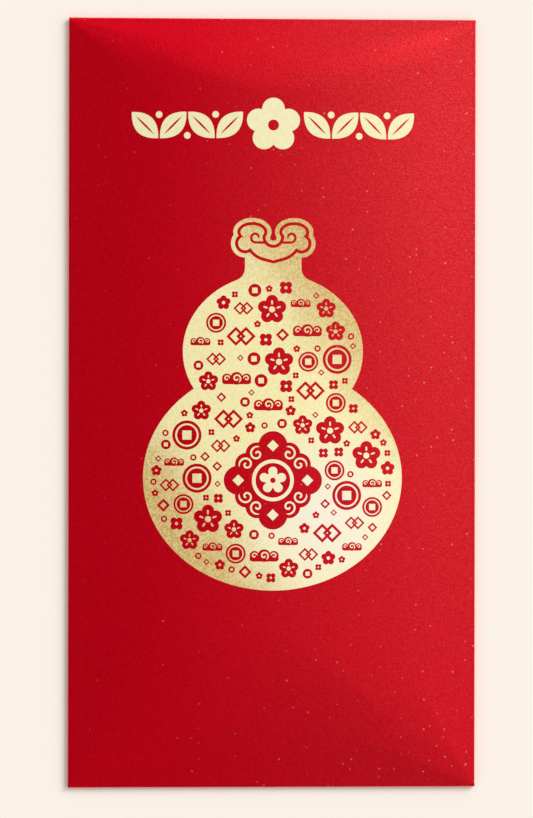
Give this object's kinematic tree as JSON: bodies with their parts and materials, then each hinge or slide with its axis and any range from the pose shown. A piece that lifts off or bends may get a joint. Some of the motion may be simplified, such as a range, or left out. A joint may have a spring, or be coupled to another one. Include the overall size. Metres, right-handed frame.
{
  "type": "red envelope",
  "caption": "Upright red paper money envelope with a bowed front stamped in gold foil with a gourd, a glued pocket and a hinged closing flap at the back.",
  "frame": {"origin": "middle of the envelope's footprint, on the surface that it lies on", "axes": "+X across the front, towards the right of someone reading it; +Y up the front, towards the opening; +Z out of the front face"},
  "size_m": [0.09, 0.17, 0.0058],
  "materials": {
    "red_card": "pearl, satin",
    "gold_foil": "hot-stamped, lacquered gold, satin",
    "cream_ink": "matt print",
    "dried_glue": "dry, clear"
  },
  "bodies": {
    "envelope": {"front_panel": "red_card", "back_panel": "red_card", "side_tab": "red_card", "bottom_flap": "red_card", "side_seam_glue": "dried_glue", "bottom_seam_glue": "dried_glue", "gourd_foil": "gold_foil", "cloud_cap_foil": "gold_foil", "foil_islands": "gold_foil", "header_print": "cream_ink"},
    "flap": {"closure_flap": "red_card"}
  },
  "joints": [
    {"name": "flap_hinge", "type": "hinge", "parent": "envelope", "child": "flap", "pos_m": [0, 0.08485, 0.00141], "axis": [1, 0, 0], "range_deg": [0, 180]}
  ]
}
